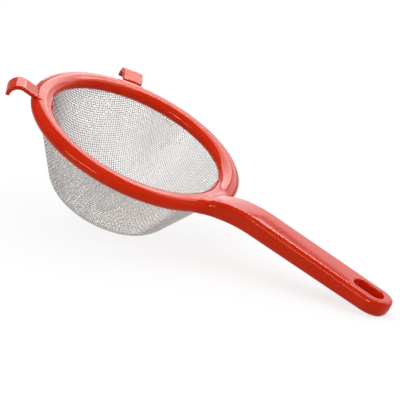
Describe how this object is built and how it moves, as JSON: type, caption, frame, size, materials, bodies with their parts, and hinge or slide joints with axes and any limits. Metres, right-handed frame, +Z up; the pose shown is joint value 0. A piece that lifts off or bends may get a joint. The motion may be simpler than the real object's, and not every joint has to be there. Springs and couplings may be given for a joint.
{
  "type": "hand strainer",
  "caption": "Hand-held fine-mesh kitchen strainer with a round red plastic rim, arched flat handle with a hanging slot, rest hooks and a deep woven-wire basket.",
  "frame": {"origin": "where the edge of the basket's bottom touches the table, with the strainer lying on it", "axes": "+Z up from the table; +X from the basket towards the tip of the handle; +Y to the right hand of someone who holds the handle and faces the basket"},
  "size_m": [0.2529, 0.14, 0.0895],
  "materials": {
    "frame_plastic": "gloss vermilion red, moulded",
    "mesh_steel": "bright woven stainless wire"
  },
  "bodies": {
    "root": {"rim": "frame_plastic", "handle": "frame_plastic", "hook_left": "frame_plastic", "hook_right": "frame_plastic", "clamp_ring": "frame_plastic", "mesh_basket": "mesh_steel"}
  },
  "joints": []
}
